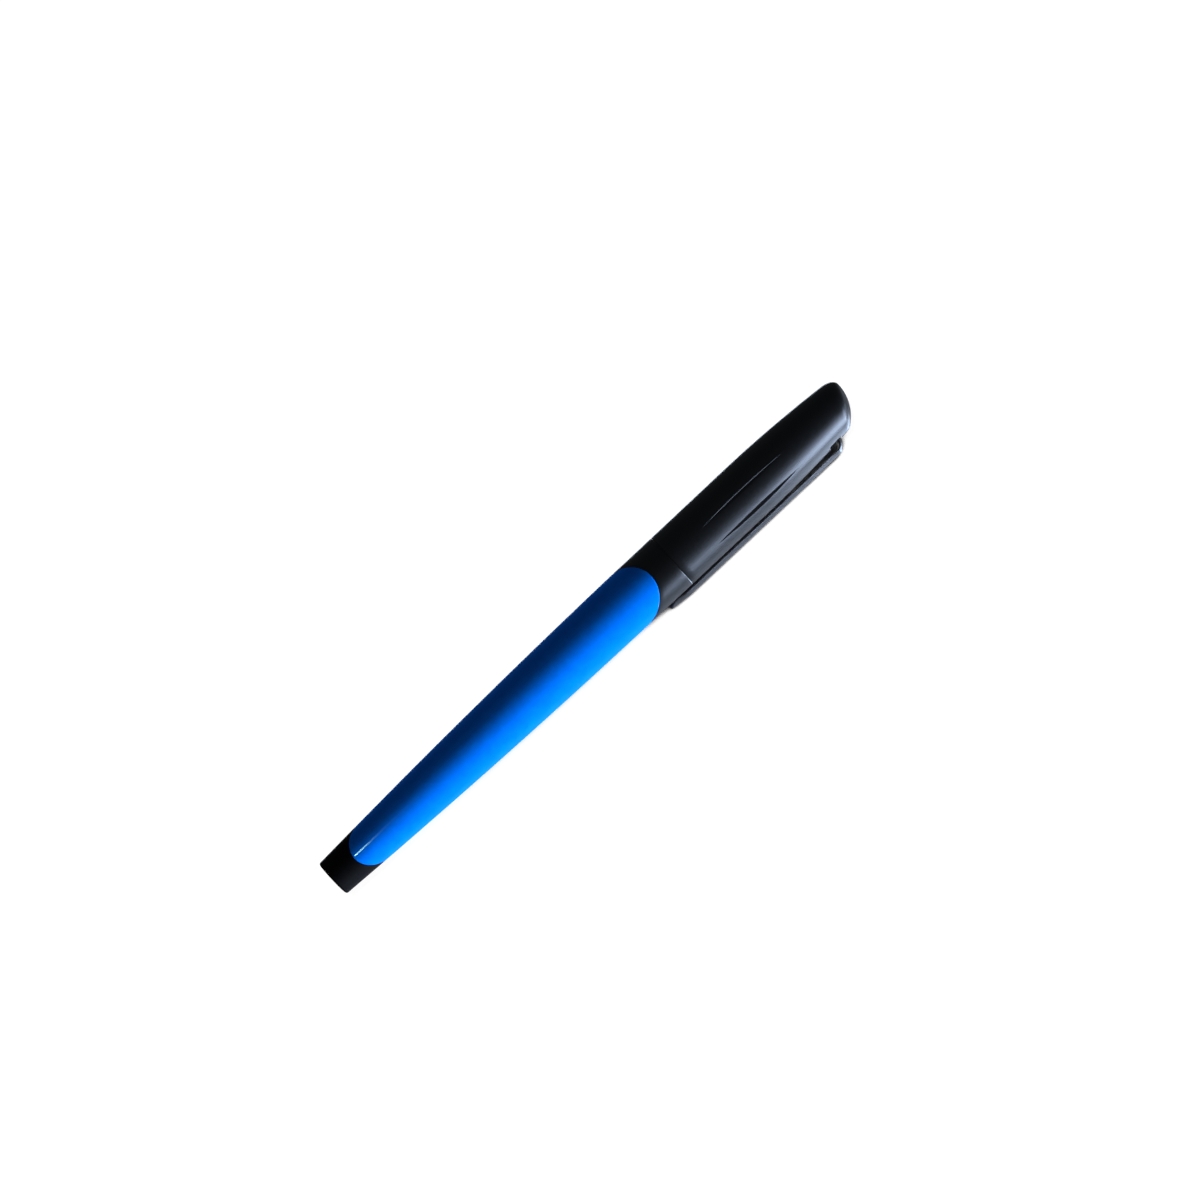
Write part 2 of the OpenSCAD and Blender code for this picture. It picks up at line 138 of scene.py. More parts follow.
def finish_mesh(bm, name, sharp=32):
    """Merges, orients and shades a mesh, and puts it in the scene."""
    bmesh.ops.remove_doubles(bm, verts=bm.verts, dist=2e-7)
    bmesh.ops.dissolve_degenerate(bm, edges=bm.edges, dist=1e-7)
    bmesh.ops.recalc_face_normals(bm, faces=bm.faces)
    mesh = bpy.data.meshes.new(name)
    bm.to_mesh(mesh)
    bm.free()
    mesh.shade_smooth()
    mesh.set_sharp_from_angle(angle=math.radians(sharp))
    piece = bpy.data.objects.new(name, mesh)
    bpy.context.scene.collection.objects.link(piece)
    return piece


def skin(name, columns, sharp=32):
    """Surface through closed columns of points that run round the pen."""
    bm = bmesh.new()
    grid = [[bm.verts.new(p) for p in column] for column in columns]
    for a, b in zip(grid, grid[1:] + grid[:1]):
        for i in range(len(a)):
            bm.faces.new((a[i - 1], a[i], b[i], b[i - 1]))
    return finish_mesh(bm, name, sharp)


def lathe(name, profile, count=180):
    """Skin whose column at each angle is the closed outline that profile gives there."""
    columns = []
    for k in range(count):
        phi = math.tau * k / count
        columns.append([place(p[0], p[1], phi) for p in profile(phi)])
    return skin(name, columns)


# ---- Sleeve, collar and tail ----------------------------------------------------------------

SLEEVE_T = 0.6
TAIL_CUT_AT, TAIL_SLANT = 10.6, math.tan(math.radians(48))
FRONT_CUT_AT, FRONT_SLANT, FRONT_TURN = 78.9, math.tan(math.radians(46)), math.radians(6)


def tail_cut(r, phi):
    """Place of the sleeve's slanted cut at the tail, r from the axis."""
    return TAIL_CUT_AT + TAIL_SLANT * r * math.sin(phi)


def front_cut(r, phi):
    """Place of the sleeve's slanted cut at the collar, r from the axis."""
    return FRONT_CUT_AT - FRONT_SLANT * r * math.sin(phi + FRONT_TURN)


def cut_at(cut, inset, phi, shift=0.0):
    """Place where a slanted cut meets the outline set in by inset."""
    x = cut(5, phi)
    for _ in range(24):
        x = cut(outline(x) - inset, phi) + shift
    return x


def sleeve_profile(phi):
    """Outline of the lacquered sleeve, cut on a slant at both ends."""
    back, front = cut_at(tail_cut, 0, phi), cut_at(front_cut, 0, phi)
    back_in, front_in = cut_at(tail_cut, SLEEVE_T, phi), cut_at(front_cut, SLEEVE_T, phi)
    points = [(back, outline(back), 0.16, 5)]
    # The first place stands close to the rounded edge, so that the edge's shading ends there
    points += [(x, outline(x), 0, 0) for x in [back + 0.3] + steps(back + 0.3, front - 0.3, 30)]
    points += [(front - 0.3, outline(front), 0.3, 3), (front - 0.02, outline(front) - 0.07, 0.05, 4)]
    points += [(front_in, outline(front_in) - SLEEVE_T, 0, 0)]
    points += [(x, outline(x) - SLEEVE_T, 0, 0) for x in steps(front_in, back_in, 12)]
    points += [(back_in, outline(back_in) - SLEEVE_T, 0, 0)]
    return fillet(points)


def tube_profile(phi):
    """Outline of the barrel with its collar, and with the stepped bore for the section and the cartridge."""
    gap = 0.03
    core = SLEEVE_T + 0.02
    cut = cut_at(front_cut, 0, phi, gap)
    cut_in = cut_at(front_cut, core, phi, gap)
    points = [(3, 0, 0, 0), (3, outline(3) - core, 0.2, 3)]
    points += [(x, outline(x) - core, 0, 0) for x in steps(3, cut_in, 20)]
    points += [(cut_in, outline(cut_in) - core, 0, 0), (cut, outline(cut) - 0.03, 0.1, 3)]
    points += [(x, outline(x), 0, 0) for x in steps(cut, SEAM - 0.2, 5)]
    points += [(SEAM - 0.16, BODY_R, 0.12, 3), (SEAM - 0.01, 5.95, 0.02, 3), (SEAM, 4.9, 0.15, 3)]
    points += [(76, 4.9, 0, 0), (76, 4.05, 0.1, 2), (37, 4.05, 0, 0), (37, 3.2, 0.1, 2)]
    points += [(12, 3.2, 0, 0), (12, 2.4, 0.1, 2), (4.2, 2.4, 0.4, 3), (4.2, 0, 0, 0)]
    return fillet(points)


def tail_profile(phi):
    """Outline of the tail piece, with its rounded rim and the slanted edge that meets the sleeve."""
    gap = -0.03
    cut = cut_at(tail_cut, 0, phi, gap)
    cut_in = cut_at(tail_cut, SLEEVE_T - 0.01, phi, gap)
    points = [(0, 0, 0, 0), (0, 2.9, 0, 0), (0, outline(0.3), 0.95, 9)]
    points += [(x, outline(x), 0, 0) for x in steps(1.0, cut, 5)]
    points += [(cut, outline(cut) - 0.02, 0.1, 4)]
    points += [(cut_in, outline(cut_in) - SLEEVE_T + 0.01, 0, 0)]
    points += [(3, outline(3) - SLEEVE_T + 0.01, 0, 0), (3, 0, 0, 0)]
    return fillet(points)


# ---- Cap -------------------------------------------------------------------------------------

# The end is part of a ball that is centred DOME_AT along and DOME_OFF off the axis, away from the clip
DOME_AT, DOME_R, DOME_OFF = 128.0, 8.95, 2.8
END_FROM = 131.0
CROWN_R, CROWN_SINK = 4.2, 0.05
CROWN_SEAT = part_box("cap_crown")[0].x / MM
GROOVE_AT, GROOVE_HALF = 109.35, 10.75
POCKET_FROM, POCKET_TO = 127.2, 130.35
POCKET_HALF, POCKET_FLOOR = 2.02, 4.8
SLOT_FROM, SLOT_HALF, SLOT_FLOOR = 128.95, 1.22, 4.02
# The cap's bore: its radius at the mouth, round the inner cap and under the crown, and where these change
BORE_MOUTH_R, BORE_INNER_R, BORE_END_R = 5.15, 4.6, 4.0
BORE_STEP, BORE_END = 112.8, 126.2


def end_reach(omega, phi):
    """Distance from the axis at END_FROM to the end surface, where the dome and the side meet softly."""
    sin, cos = math.sin(omega), math.cos(omega)
    low, high = 0.0, 9.0
    for _ in range(36):
        mid = (low + high) / 2
        if mid * sin < outline(END_FROM + mid * cos):
            low = mid
        else:
            high = mid
    side = low if sin > 0.3 else 99.0
    ahead = END_FROM - DOME_AT
    tilt = ahead * cos + DOME_OFF * sin * math.cos(phi)
    dome = -tilt + math.sqrt(tilt * tilt + DOME_R ** 2 - DOME_OFF ** 2 - ahead ** 2)
    blend = 0.3 + 2.6 * (0.5 - 0.5 * math.cos(phi)) ** 2
    overlap = max(blend - abs(side - dome), 0) / blend
    return min(side, dome) - overlap * overlap * blend / 4


def end_point(omega, phi, sink=0.0):
    """(x, distance from the axis) of the end surface, or of one sunk below it."""
    reach = end_reach(omega, phi) - sink
    return END_FROM + reach * math.cos(omega), reach * math.sin(omega)


def omega_at(r, phi, sink=0.0):
    """Direction in which the end surface is r from the axis."""
    low, high = 0.0, math.radians(88)
    for _ in range(36):
        mid = (low + high) / 2
        if end_point(mid, phi, sink)[1] < r:
            low = mid
        else:
            high = mid
    return low


# Across a groove at its middle: distance in mm from its centre line, towards the clip, and depth in mm
LEAF = [
    (-0.46, 0), (-0.42, 0.002), (-0.40, 0.008), (-0.38, 0.022), (-0.285, 0.138), (-0.265, 0.148),
    (-0.23, 0.148), (-0.1, 0.11), (0.1, 0.05), (0.22, 0.018), (0.3, 0.004), (0.38, 0),
]
VEE = [
    (-0.42, 0), (-0.36, 0.004), (-0.33, 0.015), (-0.30, 0.045), (0.06, 0.47), (0.09, 0.48),
    (0.13, 0.465), (0.56, 0.04), (0.60, 0.015), (0.64, 0.005), (0.72, 0),
]
GROOVES = [(-96, LEAF), (-51, VEE), (51, VEE), (96, LEAF)]
# Half widths at which the pocket's and the slot's walls stand
POCKET_MARKS = (POCKET_HALF + 0.12, POCKET_HALF + 0.05, POCKET_HALF + 0.02, POCKET_HALF,
                SLOT_HALF + 0.02, SLOT_HALF, 0.6)
# Plain columns in each space between the marked ones, all the way round
SPANS = [18, 9, 9, 18, 70]
END_ROWS = 40


def groove_share(x):
    """Share of a groove's full width and depth at x: none at its pointed ends."""
    return max(1 - ((x - GROOVE_AT) / GROOVE_HALF) ** 2, 0)


def pocket_point(x, y, side):
    """(distance from the axis, angle) of a point y off the clip's middle plane, also in the pocket."""
    height = math.sqrt(side * side - y * y)
    if POCKET_FROM + 0.01 < x < POCKET_TO - 0.01 and abs(y) < POCKET_HALF + 0.01:
        height = POCKET_FLOOR
        if x > SLOT_FROM + 0.01 and abs(y) < SLOT_HALF + 0.01:
            height = SLOT_FLOOR
    return math.hypot(height, y), math.atan2(y, height)


def ring_columns(x):
    """(distance from the axis, angle) of every column of the cap's outside at x."""
    side = outline(x)
    share = groove_share(x)
    wide = max(share, 0.05)
    marks = []
    for angle, shape in GROOVES:
        # The steep flank is the one further from the clip on both sides of the cap
        flip = -1 if angle > 0 else 1
        middle = math.radians(angle)
        marks.append([(side - sunk * share, middle + off * flip * wide / side)
                      for off, sunk in shape[::flip]])
    lines = [-y for y in POCKET_MARKS] + [0.0] + list(POCKET_MARKS[::-1])
    marks.insert(2, [pocket_point(x, y, side) for y in lines])
    out = []
    for i, group in enumerate(marks):
        out += group
        last = i == len(marks) - 1
        gap = marks[0][0][1] + math.tau - group[-1][1] if last else marks[i + 1][0][1] - group[-1][1]
        out += [(side, group[-1][1] + gap * k / (SPANS[i] + 1)) for k in range(1, SPANS[i] + 1)]
    return out


def ramp(t):
    """Soft step from 0 to 1 while t goes from 0 to 1."""
    t = max(0.0, min(1.0, t))
    return t * t * (3 - 2 * t)


def around(edge):
    """Places on both sides of a wall that stands at edge."""
    return [edge - 0.1, edge - 0.03, edge, edge + 0.03, edge + 0.1]


def cap_rows():
    """Places of the rows along the cap's side, closer together where something starts or ends."""
    rows = steps(MOUTH + 0.2, GROOVE_AT - GROOVE_HALF, 5)
    rows += [GROOVE_AT - GROOVE_HALF * math.cos(math.pi * k / 44) for k in range(45)]
    rows += steps(GROOVE_AT + GROOVE_HALF, POCKET_FROM - 0.1, 6)
    rows += around(POCKET_FROM) + steps(POCKET_FROM + 0.1, SLOT_FROM - 0.1, 3)
    rows += around(SLOT_FROM) + steps(SLOT_FROM + 0.1, POCKET_TO - 0.1, 2)
    rows += around(POCKET_TO) + [END_FROM - 0.3]
    return rows


def build_cap():
    """Cap shell with its grooves, the clip's pocket and slot, the rim round the crown, and its bore."""
    rows = cap_rows()
    grid = [ring_columns(x) for x in rows]
    plain = ring_columns(END_FROM)
    columns = []
    for k, (_, phi) in enumerate(plain):
        mouth_phi = grid[0][k][1]
        column = [(MOUTH, BORE_MOUTH_R, mouth_phi), (MOUTH, BODY_R - 0.07, mouth_phi),
                  (MOUTH + 0.02, BODY_R - 0.02, mouth_phi), (MOUTH + 0.07, BODY_R, mouth_phi)]
        column += [(x, row[k][0], row[k][1]) for x, row in zip(rows, grid)]
        end = omega_at(CROWN_R, phi)
        for step in range(END_ROWS + 1):
            # The rows lie closer together towards the rim
            share = 1 - (1 - step / END_ROWS) ** 1.2
            x, r = end_point(math.pi / 2 + (end - math.pi / 2) * share, phi)
            column.append((x, r, phi))
        rim = column[-1][0]
        column += [(rim - 0.04, CROWN_R - 0.012, phi), (rim - 0.12, CROWN_R - 0.015, phi),
                   (CROWN_SEAT, CROWN_R - 0.015, phi), (CROWN_SEAT, BORE_END_R, phi),
                   (BORE_END, BORE_END_R, phi), (BORE_END, BORE_INNER_R, phi),
                   (BORE_STEP, BORE_INNER_R, mouth_phi), (BORE_STEP, BORE_MOUTH_R, mouth_phi),
                   (92, BORE_MOUTH_R, mouth_phi)]
        columns.append([place(*p) for p in column])
    return skin("cap_body", columns, 24)


def crown_profile(phi):
    """Outline of the crown, which lies a little below the end's surface."""
    end = omega_at(CROWN_R - 0.05, phi, CROWN_SINK)
    points = [(CROWN_SEAT, 0, 0, 0), (CROWN_SEAT, CROWN_R - 0.03, 0, 0)]
    rim = end_point(end, phi, CROWN_SINK)
    points += [(rim[0] + 0.02, CROWN_R - 0.03, 0.06, 3)]
    for k in range(1, 25):
        x, r = end_point(end * (1 - k / 24), phi, CROWN_SINK)
        points.append((x, r, 0, 0))
    return fillet(points)


# ---- Clip -----------------------------------------------------------------------------------

CLIP_TIP, TIP_ROUND = 83.5, 0.45
TIP_R = 6.08 + TIP_ROUND
CLIP_HALF, CLIP_OUTER, CLIP_INNER = 1.9, 7.35, 6.45
CLIP_CROWN = 0.76
TIP_RISE_OVER = 4.6


def clip_station(x, half):
    """(outer point, inner point, half width) of the clip at x, near its rounded tip."""
    if x < CLIP_TIP + TIP_ROUND:
        rise = math.sqrt(TIP_ROUND ** 2 - (CLIP_TIP + TIP_ROUND - x) ** 2)
    else:
        rise = TIP_ROUND
    lift = ramp((x - CLIP_TIP - TIP_ROUND) / TIP_RISE_OVER)
    outer = TIP_R + rise + (CLIP_OUTER - TIP_R - TIP_ROUND) * lift
    inner = TIP_R - rise + (CLIP_INNER - TIP_R + TIP_ROUND) * lift
    return (x, outer), (x, inner), half


def clip_stations():
    """(outer point, inner point, half width) along the clip, from its tip to its tongue."""
    out = []
    for k in range(1, 13):
        x = CLIP_TIP + 4.0 * (1 - math.cos(math.pi / 2 * k / 12))
        half = CLIP_HALF
        if x <= CLIP_TIP + CLIP_HALF:
            half = math.sqrt(CLIP_HALF ** 2 - (CLIP_TIP + CLIP_HALF - x) ** 2)
        out.append(clip_station(x, half))
    out += [clip_station(x, CLIP_HALF) for x in steps(87.5, 92.0, 4)]
    # The blade bends round the heel's centre and ends in a narrow tongue
    heel_x, heel_r, heel_out, thick = 128.1, 5.2, 2.0, 0.9
    for x in steps(92, heel_x, 17):
        drop = 0.15 * ramp((x - 120) / (heel_x - 120))
        out.append(((x, CLIP_OUTER - drop), (x, CLIP_INNER - drop), CLIP_HALF))
    for k in range(17):
        a = math.pi / 2 * k / 16
        reach = heel_out - 0.3 * math.sin(2 * a) ** 2
        outer = (heel_x + reach * math.sin(a), heel_r + reach * math.cos(a))
        inner = (heel_x + (heel_out - thick) * math.sin(a), heel_r + (heel_out - thick) * math.cos(a))
        out.append((outer, inner, CLIP_HALF))
    end = heel_x + heel_out
    for r, half in ((5.08, CLIP_HALF), (4.97, CLIP_HALF), (4.95, 1.1), (4.6, 1.1), (4.16, 1.1), (4.1, 1.06)):
        out.append(((end, r), (end - thick, r), half))
    return out


def build_clip():
    """Clip blade with a crowned outer face, from its rounded tip to the tongue in the cap."""
    columns = []
    for outer, inner, half in clip_stations():
        outer, inner = Vector(outer), Vector(inner)
        middle = (outer + inner) / 2
        up = outer - inner
        thick = up.length
        up.normalize()
        heel = ramp((outer.x - 126.5) / 3.2)
        crown = CLIP_CROWN * (half / CLIP_HALF) ** 2 * min(1, thick / 0.9) * (1 - 0.25 * heel)
        edge = min(0.07, half * 0.2, thick * 0.1)
        loop = []
        top = thick / 2
        # Crowned outer face, from one side to the other
        for k in range(13):
            t = -1 + k / 6
            y = t * (half - edge * 0.8)
            loop.append((y, top - crown * (y / half) ** 2))
        low = top - crown
        loop.append((half - 0.2 * edge, low - 0.25 * edge))
        loop.append((half, low - edge))
        loop.append((half, -top + edge * 0.7))
        loop.append((half - edge * 0.25, -top + edge * 0.2))
        loop.append((half - edge * 0.8, -top))
        loop.append((0, -top))
        loop += [(-y, z) for y, z in loop[13:18][::-1]]
        points = []
        for y, z in loop:
            p = middle + up * z
            points.append(Vector((p.x, 0, 0)) * MM + CLIP * (p.y * MM) - SIDE * (y * MM))
        columns.append(points)
    bm = bmesh.new()
    grid = [[bm.verts.new(p) for p in column] for column in columns]
    for a, b in zip(grid, grid[1:]):
        for i in range(len(a)):
            bm.faces.new((a[i - 1], a[i], b[i], b[i - 1]))
    tip = bm.verts.new(Vector((CLIP_TIP, 0, 0)) * MM + CLIP * (TIP_R * MM))
    for i in range(len(grid[0])):
        bm.faces.new((grid[0][i - 1], grid[0][i], tip))
    bm.faces.new(grid[-1])
    return finish_mesh(bm, "clip_blade", 34)


# ---- Cap spring ------------------------------------------------------------------------------

SPRING_FROM, SPRING_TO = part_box("cap_spring")[0].x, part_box("cap_spring")[1].x


def build_spring():
    """Wire spring with closed ends, from the inner cap's flange to the crown."""
    wire = 0.2 * MM
    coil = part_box("cap_spring")[1].y - wire
    turns, closed, around_wire = 6, 0.75, 14
    steps_round = 40
    total = int((turns + 2 * closed) * steps_round)
    low, high = SPRING_FROM + wire, SPRING_TO - wire
    pitch_end = 2.05 * wire * closed

    def along(turn):
        if turn < closed:
            return low + 2.05 * wire * turn
        if turn > turns + closed:
            return high - 2.05 * wire * (turns + 2 * closed - turn)
        share = (turn - closed) / turns
        return low + pitch_end + (high - low - 2 * pitch_end) * share

    bm = bmesh.new()
    rings = []
    for k in range(total + 1):
        turn = k / steps_round
        a = math.tau * turn
        out = Vector((0, math.cos(a), math.sin(a)))
        taper = 1.0 if 0 < k < total else 0.8
        rings.append([bm.verts.new(Vector((along(turn), 0, 0)) + out * coil
                                   + (out * math.cos(b) + Vector((1, 0, 0)) * math.sin(b)) * wire * taper)
                      for b in (math.tau * i / around_wire for i in range(around_wire))])
    for one, two in zip(rings, rings[1:]):
        for i in range(around_wire):
            bm.faces.new((one[i - 1], one[i], two[i], two[i - 1]))
    bm.faces.new(rings[0])
    bm.faces.new(rings[-1][::-1])
    return finish_mesh(bm, "coil_spring", 50)


# ---- Materials ------------------------------------------------------------------------------

def graph(name):
    """Empty node material with its shader, and the object's coordinates in metres."""
    mat = bpy.data.materials.new(name)
    mat.use_nodes = True
    tree = mat.node_tree
    tree.nodes.clear()
    out = tree.nodes.new("ShaderNodeOutputMaterial")
    shader = tree.nodes.new("ShaderNodeBsdfPrincipled")
    tree.links.new(shader.outputs["BSDF"], out.inputs["Surface"])
    coords = tree.nodes.new("ShaderNodeTexCoord")
    return mat, tree, shader, coords.outputs["Object"]


# Noise values between these two cover the whole of a range
NOISE_LOW, NOISE_HIGH = 0.3, 0.7


def noise(tree, vector, scale, detail, stretch=None):
    """Noise that repeats about every 1 / scale metres, stretched along the pen if asked."""
    if stretch:
        mapping = tree.nodes.new("ShaderNodeMapping")
        mapping.inputs["Scale"].default_value = stretch
        tree.links.new(vector, mapping.inputs["Vector"])
        vector = mapping.outputs["Vector"]
    node = tree.nodes.new("ShaderNodeTexNoise")
    node.inputs["Scale"].default_value = scale
    node.inputs["Detail"].default_value = detail
    tree.links.new(vector, node.inputs["Vector"])
    return node.outputs["Fac"]


def spread(tree, value, low, high, start=NOISE_LOW, end=NOISE_HIGH):
    """Maps a value between start and end to the range from low to high."""
    node = tree.nodes.new("ShaderNodeMapRange")
    node.inputs["From Min"].default_value = start
    node.inputs["From Max"].default_value = end
    node.inputs["To Min"].default_value = low
    node.inputs["To Max"].default_value = high
    tree.links.new(value, node.inputs["Value"])
    return node.outputs["Result"]


def tint(tree, value, colours):
    """Colour ramp over a noise value."""
    node = tree.nodes.new("ShaderNodeValToRGB")
    node.color_ramp.elements[0].position = NOISE_LOW
    node.color_ramp.elements[1].position = NOISE_HIGH
    node.color_ramp.elements[0].color = (*colours[0], 1)
    node.color_ramp.elements[1].color = (*colours[1], 1)
    tree.links.new(value, node.inputs["Fac"])
    return node.outputs["Color"]


def math_node(tree, operation, *values):
    """Result of a calculation with other nodes' values."""
    node = tree.nodes.new("ShaderNodeMath")
    node.operation = operation
    for value, socket in zip(values, node.inputs):
        tree.links.new(value, socket)
    return node.outputs["Value"]


def bump(tree, height, strength, distance):
    """Normal of a surface with a fine relief."""
    node = tree.nodes.new("ShaderNodeBump")
    node.inputs["Strength"].default_value = strength
    node.inputs["Distance"].default_value = distance
    tree.links.new(height, node.inputs["Height"])
    return node.outputs["Normal"]


GRAIN_SCALE, GRAIN_STRENGTH, GRAIN_HEIGHT = 7000, 0.1, 0.000004
PATCH_SCALE = 600


def material(name, colours, rough, metallic=0.0, coat=0.0, ior=1.5, streak=None, **more):
    """Material with colour that varies in soft patches, uneven gloss and a fine surface grain."""
    mat, tree, shader, where = graph(name)
    soft = noise(tree, where, PATCH_SCALE, 2.0)
    tree.links.new(tint(tree, soft, colours), shader.inputs["Base Color"])
    uneven = noise(tree, where, PATCH_SCALE * 3, 4.0, streak)
    tree.links.new(spread(tree, uneven, *rough), shader.inputs["Roughness"])
    fine = noise(tree, where, GRAIN_SCALE, 2.0)
    tree.links.new(bump(tree, fine, GRAIN_STRENGTH, GRAIN_HEIGHT), shader.inputs["Normal"])
    shader.inputs["Metallic"].default_value = metallic
    shader.inputs["IOR"].default_value = ior
    shader.inputs["Coat Weight"].default_value = coat
    shader.inputs["Coat Roughness"].default_value = 0.05
    for key, value in more.items():
        shader.inputs[key.replace("_", " ")].default_value = value
    return mat


MATERIALS = {
    "black_satin": material("black_satin", [(0.0020, 0.0020, 0.0022), (0.0030, 0.0029, 0.0031)],
                            (0.32, 0.37)),
    "crown_black": material("crown_black", [(0.0022, 0.0022, 0.0024), (0.0032, 0.0031, 0.0033)],
                            (0.32, 0.37), Specular_IOR_Level=0.25),
    "section_black": material("section_black", [(0.008, 0.008, 0.009), (0.011, 0.011, 0.012)], (0.34, 0.42)),
    "clip_black": material("clip_black", [(0.006, 0.006, 0.007), (0.008, 0.008, 0.009)], (0.27, 0.33),
                           ior=1.65),
    "blue_gloss": material("blue_gloss", [(0.0, 0.19, 0.94), (0.0, 0.215, 1.0)], (0.38, 0.46),
                           coat=0.14, streak=(0.12, 1, 1), Specular_IOR_Level=0.0),
    "rubber_black": material("rubber_black", [(0.01, 0.01, 0.01), (0.018, 0.018, 0.018)], (0.6, 0.75)),
    "rubber_red": material("rubber_red", [(0.28, 0.02, 0.015), (0.36, 0.03, 0.02)], (0.55, 0.7)),
    "white_plastic": material("white_plastic", [(0.76, 0.76, 0.73), (0.82, 0.82, 0.79)], (0.35, 0.45)),
    "grey_plastic": material("grey_plastic", [(0.24, 0.25, 0.27), (0.3, 0.31, 0.33)], (0.35, 0.45)),
    "cartridge_clear": material("cartridge_clear", [(0.78, 0.84, 0.9), (0.85, 0.9, 0.94)], (0.15, 0.25),
                                ior=1.45, Transmission_Weight=0.75),
    "width_blue": material("width_blue", [(0.01, 0.08, 0.5), (0.015, 0.1, 0.58)], (0.25, 0.33)),
    "steel": material("steel", [(0.55, 0.55, 0.56), (0.66, 0.66, 0.67)], (0.18, 0.3), metallic=1.0,
                      streak=(0.15, 1, 1)),
    "brass": material("brass", [(0.72, 0.5, 0.2), (0.82, 0.6, 0.28)], (0.2, 0.32), metallic=1.0,
                      streak=(6, 1, 1)),
}


def dress(piece, slot):
    """Gives a piece the material of its slot alone."""
    piece.data.materials.clear()
    piece.data.materials.append(MATERIALS[slot])


# ---- The visible pieces ----------------------------------------------------------------------

def stand_for(piece, node, body, slot):
    """Puts a new piece on its body in place of a CAD node."""
    dress(piece, slot)
    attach(piece, body)
    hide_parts(node)


stand_for(lathe("sleeve", sleeve_profile), "barrel_sleeve", "barrel", "blue_gloss")
stand_for(lathe("barrel_with_collar", tube_profile), "barrel_tube", "barrel", "black_satin")
tail = lathe("tail_cup", tail_profile)
stand_for(tail, "tail_piece", "barrel", "black_satin")
# The tail piece has a duller finish than the rest of the black mouldings
tail.data.materials[0] = material("black_matt", [(0.0022, 0.0020, 0.0024), (0.0032, 0.0030, 0.0034)],
                                  (0.5, 0.6), Specular_IOR_Level=0.08)
stand_for(build_cap(), "cap_shell", "cap", "black_satin")
stand_for(lathe("crown_disc", crown_profile, 120), "cap_crown", "cap", "crown_black")
clip = build_clip()
stand_for(clip, "pocket_clip", "clip", "clip_black")
# The satin cap shows no image of the clip beside it
clip.visible_glossy = False

# The spring gets a mesh of its own; in the real cap it shortens against the crown as the inner cap is pushed in
coil_spring = build_spring()
stand_for(coil_spring, "cap_spring", "cap", "steel")
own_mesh(coil_spring)

SLOTS = {part["node"]: part["material_slot"] for part in frame["record"]["subparts"]}
for node, thing in NODES.items():
    if not thing.hide_render:
        dress(thing, SLOTS[node])


# ---- Floor, light and camera -----------------------------------------------------------------

FLOOR_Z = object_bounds()[0][2] - 0.00001
FLOOR_HALF = 3.0
FLOOR_GLOW = 0.97

floor_mesh = bpy.data.meshes.new("floor")
corners = [(x * FLOOR_HALF, y * FLOOR_HALF, FLOOR_Z) for x, y in ((-1, -1), (1, -1), (1, 1), (-1, 1))]
floor_mesh.from_pydata(corners, [], [(0, 1, 2, 3)])
floor = bpy.data.objects.new("floor", floor_mesh)
bpy.context.scene.collection.objects.link(floor)
floor_mat, floor_tree, floor_shader, floor_where = graph("floor_white_painted_shade")
floor_shader.inputs["Base Color"].default_value = (0.1, 0.1, 0.1, 1)
floor_shader.inputs["Emission Color"].default_value = (1, 1, 1, 1)
# The floor's own glow is faded by ambient occlusion where the pen all but touches it: a painted contact shade,
# which also darkens the gap seen under the clip
near = floor_tree.nodes.new("ShaderNodeAmbientOcclusion")
near.samples = 24
near.inputs["Distance"].default_value = 0.012
apart = floor_tree.nodes.new("ShaderNodeSeparateXYZ")
floor_tree.links.new(floor_where, apart.inputs["Vector"])
# The painted shade is kept off the floor under the sleeve, and is painted deeper in a patch where the clip's heel
# closes the gap to the cap
along_pen = apart.outputs["X"]
sleeve_no_painted_shade = spread(floor_tree, along_pen, 0.07, 0.0, 0.074, 0.084)
heel_painted_shade = math_node(floor_tree, "MULTIPLY", spread(floor_tree, along_pen, 0.0, 0.05, 0.118, 0.127),
                       spread(floor_tree, along_pen, 1.0, 0.0, 0.1296, 0.1306))
clear = math_node(floor_tree, "ADD", near.outputs["AO"], sleeve_no_painted_shade)
deep = math_node(floor_tree, "SUBTRACT", clear, heel_painted_shade)
# Emission strength of the floor, with the painted shade in it
glow = spread(floor_tree, deep, 0.0, FLOOR_GLOW, 0.165, 0.215)
floor_tree.links.new(glow, floor_shader.inputs["Emission Strength"])
floor_shader.inputs["Roughness"].default_value = 0.9
floor_shader.inputs["Specular IOR Level"].default_value = 0.0
floor_mesh.materials.append(floor_mat)
floor.visible_glossy = False
floor.visible_shadow = False

centre = Vector((PEN_LENGTH / 2 * MM, 0, 0))

# The camera looks along the clip's hinge, square to the pen, which rises to the upper right
RISE = math.radians(43.18)
FRAME_WIDTH = 0.2323
DISTANCE = 1.2
SENSOR = 36
AIM_RIGHT, AIM_UP = 0.00181, 0.00716
right = Vector((1, 0, 0)) * math.cos(RISE) + CLIP * math.sin(RISE)
up = Vector((1, 0, 0)) * math.sin(RISE) - CLIP * math.cos(RISE)
target = centre + right * AIM_RIGHT + up * AIM_UP
eye = target + SIDE * DISTANCE
camera_data = bpy.data.cameras.new("camera")
camera_data.sensor_width = SENSOR
camera_data.lens = SENSOR * DISTANCE / FRAME_WIDTH
camera_data.clip_start = 0.01
camera_data.clip_end = 20
camera = bpy.data.objects.new("camera", camera_data)
camera.matrix_world = Matrix((
    (right.x, up.x, SIDE.x, eye.x),
    (right.y, up.y, SIDE.y, eye.y),
    (right.z, up.z, SIDE.z, eye.z),
    (0, 0, 0, 1),
))
bpy.context.scene.collection.objects.link(camera)
bpy.context.scene.camera = camera
bpy.context.scene.view_settings.view_transform = "Standard"


